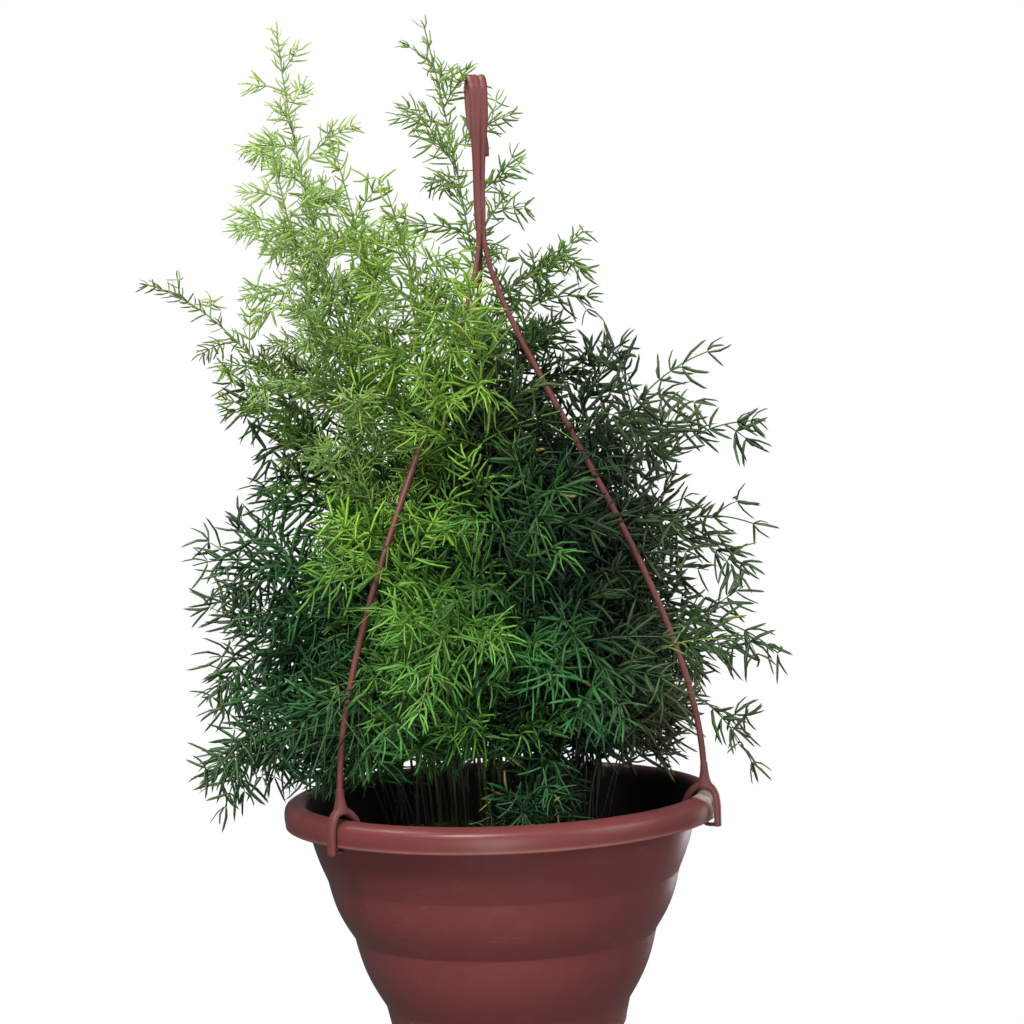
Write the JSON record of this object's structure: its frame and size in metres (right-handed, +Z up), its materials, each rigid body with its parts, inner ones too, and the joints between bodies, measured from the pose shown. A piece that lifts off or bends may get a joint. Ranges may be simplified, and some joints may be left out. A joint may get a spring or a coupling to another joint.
{
  "type": "hanging foxtail fern in pot",
  "caption": "Foxtail fern with arching needle-leaved stems in a tiered plastic hanging pot, carried by a three-strand hanger with a looped hook.",
  "frame": {"origin": "seat of the hook, the inside top of its loop", "axes": "+Z up along the hanging line, -Z towards the pot's base, -Y the front"},
  "size_m": [0.37, 0.288, 0.606],
  "materials": {
    "pot_plastic": "satin moulded plastic",
    "hanger_plastic": "satin moulded plastic",
    "potting_soil": "damp, granular",
    "foliage_pale": "soft leaf",
    "foliage_bright": "soft leaf",
    "foliage_mid": "soft leaf",
    "foliage_dark": "soft leaf",
    "foliage_gold": "dry leaf"
  },
  "bodies": {
    "root": {"pot": "pot_plastic", "soil": "potting_soil", "hanger_hook": "hanger_plastic", "hanger_arm_left": "hanger_plastic", "hanger_arm_right": "hanger_plastic", "hanger_arm_back": "hanger_plastic", "stem_tall_left": "foliage_pale", "stem_tall_left_side": "foliage_pale", "stem_crown": "foliage_mid", "stem_crown_right": "foliage_mid", "stem_thin_left": "foliage_bright", "stem_upper_left": "foliage_bright", "stem_upper_middle": "foliage_bright", "stem_upper_front": "foliage_bright", "stem_front_middle": "foliage_bright", "stem_front_left": "foliage_bright", "stem_front_right": "foliage_mid", "stem_low_front_right": "foliage_dark", "stem_low_front_left": "foliage_mid", "stem_front_low": "foliage_gold", "stem_left_high": "foliage_dark", "stem_left_middle": "foliage_dark", "stem_left_low": "foliage_dark", "stem_left_drooping": "foliage_dark", "stem_right_high": "foliage_dark", "stem_right_arching": "foliage_dark", "stem_right_middle": "foliage_dark", "stem_right_low": "foliage_dark", "stem_right_drooping": "foliage_mid", "stem_right_young": "foliage_pale", "stem_inner_right": "foliage_dark", "stem_inner_back_right": "foliage_dark", "stem_back_high": "foliage_mid", "stem_back_high_left": "foliage_mid", "stem_back_middle": "foliage_dark", "stem_back_left": "foliage_dark", "stem_back_right": "foliage_dark", "stem_back_low_left": "foliage_mid", "stem_back_low_right": "foliage_mid"}
  },
  "joints": []
}
